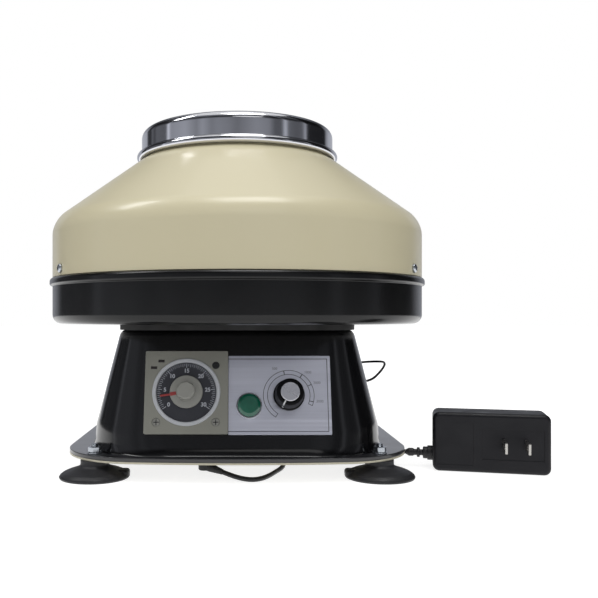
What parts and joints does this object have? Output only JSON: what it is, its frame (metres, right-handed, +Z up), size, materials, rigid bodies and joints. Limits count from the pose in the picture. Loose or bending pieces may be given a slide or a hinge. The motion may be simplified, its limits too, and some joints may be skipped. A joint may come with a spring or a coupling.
{
  "type": "bench centrifuge",
  "caption": "Bench centrifuge with a bright lift-off lid, conical cover, angle rotor, timer, speed knob, suction feet and a plug-in adapter on a cord.",
  "frame": {"origin": "on the rotor's axis, at the table the feet stand on", "axes": "+Z up along the rotor's axis; the control panel faces -Y; +X is to the right seen from the front, where the adapter lies"},
  "size_m": [0.3179, 0.2539, 0.221],
  "materials": {
    "cream_paint": "satin",
    "dark_plate": "satin",
    "black_shell": "satin",
    "black_bowl": "satin",
    "lid_steel": "polished",
    "zinc_screws": "zinc plated",
    "pad_rubber": "matte",
    "foot_rubber": "satin",
    "motor_steel": "satin",
    "bearing_steel": "polished",
    "winding": "varnished copper",
    "rotor_metal": "satin",
    "shield_metal": "satin",
    "timer_grey": "satin",
    "timer_knob_grey": "satin",
    "dial_dark": "matte",
    "lamp_dark": "glossy",
    "pointer_red": "satin",
    "black_plastic": "satin",
    "face_metal": "satin",
    "cap_metal": "spun",
    "ring_metal": "satin",
    "button_green": "glossy",
    "board_green": "satin",
    "board_blue": "satin",
    "cord_black": "satin",
    "blade_metal": "nickel plated"
  },
  "bodies": {
    "base": {"bottom_plate": "cream_paint", "top_cover": "cream_paint", "base_plate": "dark_plate", "housing": "black_shell", "bowl": "black_bowl", "cover_screws": "zinc_screws", "bowl_screws": "zinc_screws", "base_screws": "zinc_screws", "foot_studs": "zinc_screws", "foot_nuts": "zinc_screws", "board_spacers": "zinc_screws", "bowl_gasket": "pad_rubber", "motor_dampers": "pad_rubber", "foot_front_left": "foot_rubber", "foot_front_right": "foot_rubber", "foot_rear_left": "foot_rubber", "foot_rear_right": "foot_rubber", "motor_plate": "motor_steel", "motor_case": "motor_steel", "motor_bearings": "bearing_steel", "timer_case": "timer_grey", "timer_bezel": "timer_grey", "timer_dial": "dial_dark", "timer_lamps": "lamp_dark", "timer_clamp": "black_plastic", "speed_pot": "black_plastic", "button_switch": "black_plastic", "dc_jack": "black_plastic", "wire_grommet": "black_plastic", "dc_plug": "black_plastic", "adapter_case": "black_plastic", "adapter_strain_relief": "black_plastic", "face_plate": "face_metal", "button_bezel": "ring_metal", "side_connector": "ring_metal", "circuit_board": "board_green", "board_parts": "board_blue", "side_wire": "cord_black", "cord_front": "cord_black", "cord_coil": "cord_black", "cord_rear": "cord_black", "adapter_blades": "blade_metal"},
    "lid": {"lid_cap": "lid_steel"},
    "rotor": {"motor_shaft": "bearing_steel", "motor_armature": "winding", "rotor_head": "rotor_metal", "rotor_nut": "rotor_metal", "tube_shield_1": "shield_metal", "tube_shield_2": "shield_metal", "tube_shield_3": "shield_metal", "tube_shield_4": "shield_metal"},
    "speed_control": {"pot_shaft": "bearing_steel", "speed_knob": "black_plastic", "speed_knob_cap": "cap_metal"},
    "timer_setting": {"timer_knob": "timer_knob_grey", "timer_pointer": "pointer_red"},
    "button": {"start_button": "button_green"},
    "range_screw": {"timer_range_selector": "timer_grey"},
    "mode_screw": {"timer_mode_selector": "timer_grey"},
    "unit_screw": {"timer_unit_selector": "black_plastic"}
  },
  "joints": [
    {"name": "lid_lift", "type": "slide", "parent": "base", "child": "lid", "axis": [0, 0, 1], "range_m": [0, 0.06]},
    {"name": "rotor_spin", "type": "hinge", "parent": "base", "child": "rotor", "pos_m": [0, 0, 0.1], "axis": [0, 0, 1], "continuous": true},
    {"name": "speed_turn", "type": "hinge", "parent": "base", "child": "speed_control", "pos_m": [0.0298, -0.08869, 0.04849], "axis": [0, 0.9659, -0.2588], "range_deg": [0, 300]},
    {"name": "timer_turn", "type": "hinge", "parent": "base", "child": "timer_setting", "pos_m": [-0.0293, -0.08827, 0.05003], "axis": [0, 0.9659, -0.2588], "range_deg": [-27, 225]},
    {"name": "button_press", "type": "slide", "parent": "base", "child": "button", "axis": [0, 0.9659, -0.2588], "range_m": [0, 0.0015], "stiffness_N_per_m": 500, "springref_m": -0.0015},
    {"name": "range_set", "type": "hinge", "parent": "base", "child": "range_screw", "pos_m": [-0.0463, -0.09275, 0.03332], "axis": [0, 0.9659, -0.2588], "range_deg": [0, 270]},
    {"name": "mode_set", "type": "hinge", "parent": "base", "child": "mode_screw", "pos_m": [-0.0123, -0.09275, 0.03332], "axis": [0, 0.9659, -0.2588], "range_deg": [0, 270]},
    {"name": "unit_set", "type": "hinge", "parent": "base", "child": "unit_screw", "pos_m": [-0.0124, -0.08423, 0.0651], "axis": [0, 0.9659, -0.2588], "range_deg": [0, 270]}
  ]
}
